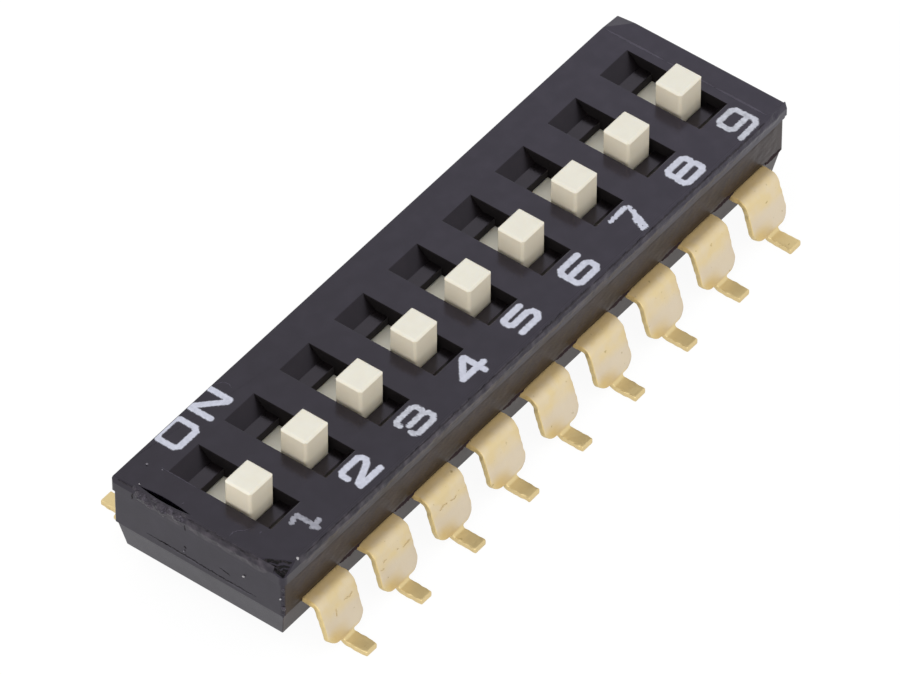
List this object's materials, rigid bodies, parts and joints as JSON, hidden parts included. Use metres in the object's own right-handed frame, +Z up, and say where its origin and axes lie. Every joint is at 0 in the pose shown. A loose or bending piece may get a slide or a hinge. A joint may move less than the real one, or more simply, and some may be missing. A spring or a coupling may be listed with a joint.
{
  "type": "dip switch",
  "caption": "Surface-mount DIP switch: a row of raised slide actuators in a black moulded housing with gull-wing terminals on both long sides.",
  "frame": {"origin": "middle of the footprint, on the plane of the solder feet", "axes": "+X along the bank from switch 1 to switch 9, +Y towards the ON side, +Z up away from the board"},
  "size_m": [0.024, 0.0098, 0.0044],
  "materials": {
    "moulded_plastic": "satin, charged black moulding",
    "slider_plastic": "satin ivory moulding",
    "spring_bronze": "bright rolled strip",
    "gold_plate": "matte gold plating",
    "marking_ink": "worn white pad print"
  },
  "bodies": {
    "housing": {"cover": "moulded_plastic", "base": "moulded_plastic", "front_terminal_1": "gold_plate", "front_terminal_2": "gold_plate", "front_terminal_3": "gold_plate", "front_terminal_4": "gold_plate", "front_terminal_5": "gold_plate", "front_terminal_6": "gold_plate", "front_terminal_7": "gold_plate", "front_terminal_8": "gold_plate", "front_terminal_9": "gold_plate", "back_terminal_1": "gold_plate", "back_terminal_2": "gold_plate", "back_terminal_3": "gold_plate", "back_terminal_4": "gold_plate", "back_terminal_5": "gold_plate", "back_terminal_6": "gold_plate", "back_terminal_7": "gold_plate", "back_terminal_8": "gold_plate", "back_terminal_9": "gold_plate"},
    "switch_1": {"slider_1": "slider_plastic", "wiper_1": "spring_bronze"},
    "switch_2": {"slider_2": "slider_plastic", "wiper_2": "spring_bronze"},
    "switch_3": {"slider_3": "slider_plastic", "wiper_3": "spring_bronze"},
    "switch_4": {"slider_4": "slider_plastic", "wiper_4": "spring_bronze"},
    "switch_5": {"slider_5": "slider_plastic", "wiper_5": "spring_bronze"},
    "switch_6": {"slider_6": "slider_plastic", "wiper_6": "spring_bronze"},
    "switch_7": {"slider_7": "slider_plastic", "wiper_7": "spring_bronze"},
    "switch_8": {"slider_8": "slider_plastic", "wiper_8": "spring_bronze"},
    "switch_9": {"slider_9": "slider_plastic", "wiper_9": "spring_bronze"}
  },
  "joints": [
    {"name": "switch_1_slide", "type": "slide", "parent": "housing", "child": "switch_1", "axis": [0, 1, 0], "range_m": [0, 0.00093]},
    {"name": "switch_2_slide", "type": "slide", "parent": "housing", "child": "switch_2", "axis": [0, 1, 0], "range_m": [0, 0.00093]},
    {"name": "switch_3_slide", "type": "slide", "parent": "housing", "child": "switch_3", "axis": [0, 1, 0], "range_m": [0, 0.00093]},
    {"name": "switch_4_slide", "type": "slide", "parent": "housing", "child": "switch_4", "axis": [0, 1, 0], "range_m": [0, 0.00093]},
    {"name": "switch_5_slide", "type": "slide", "parent": "housing", "child": "switch_5", "axis": [0, 1, 0], "range_m": [0, 0.00093]},
    {"name": "switch_6_slide", "type": "slide", "parent": "housing", "child": "switch_6", "axis": [0, 1, 0], "range_m": [0, 0.00093]},
    {"name": "switch_7_slide", "type": "slide", "parent": "housing", "child": "switch_7", "axis": [0, 1, 0], "range_m": [0, 0.00093]},
    {"name": "switch_8_slide", "type": "slide", "parent": "housing", "child": "switch_8", "axis": [0, 1, 0], "range_m": [0, 0.00093]},
    {"name": "switch_9_slide", "type": "slide", "parent": "housing", "child": "switch_9", "axis": [0, 1, 0], "range_m": [0, 0.00093]}
  ]
}
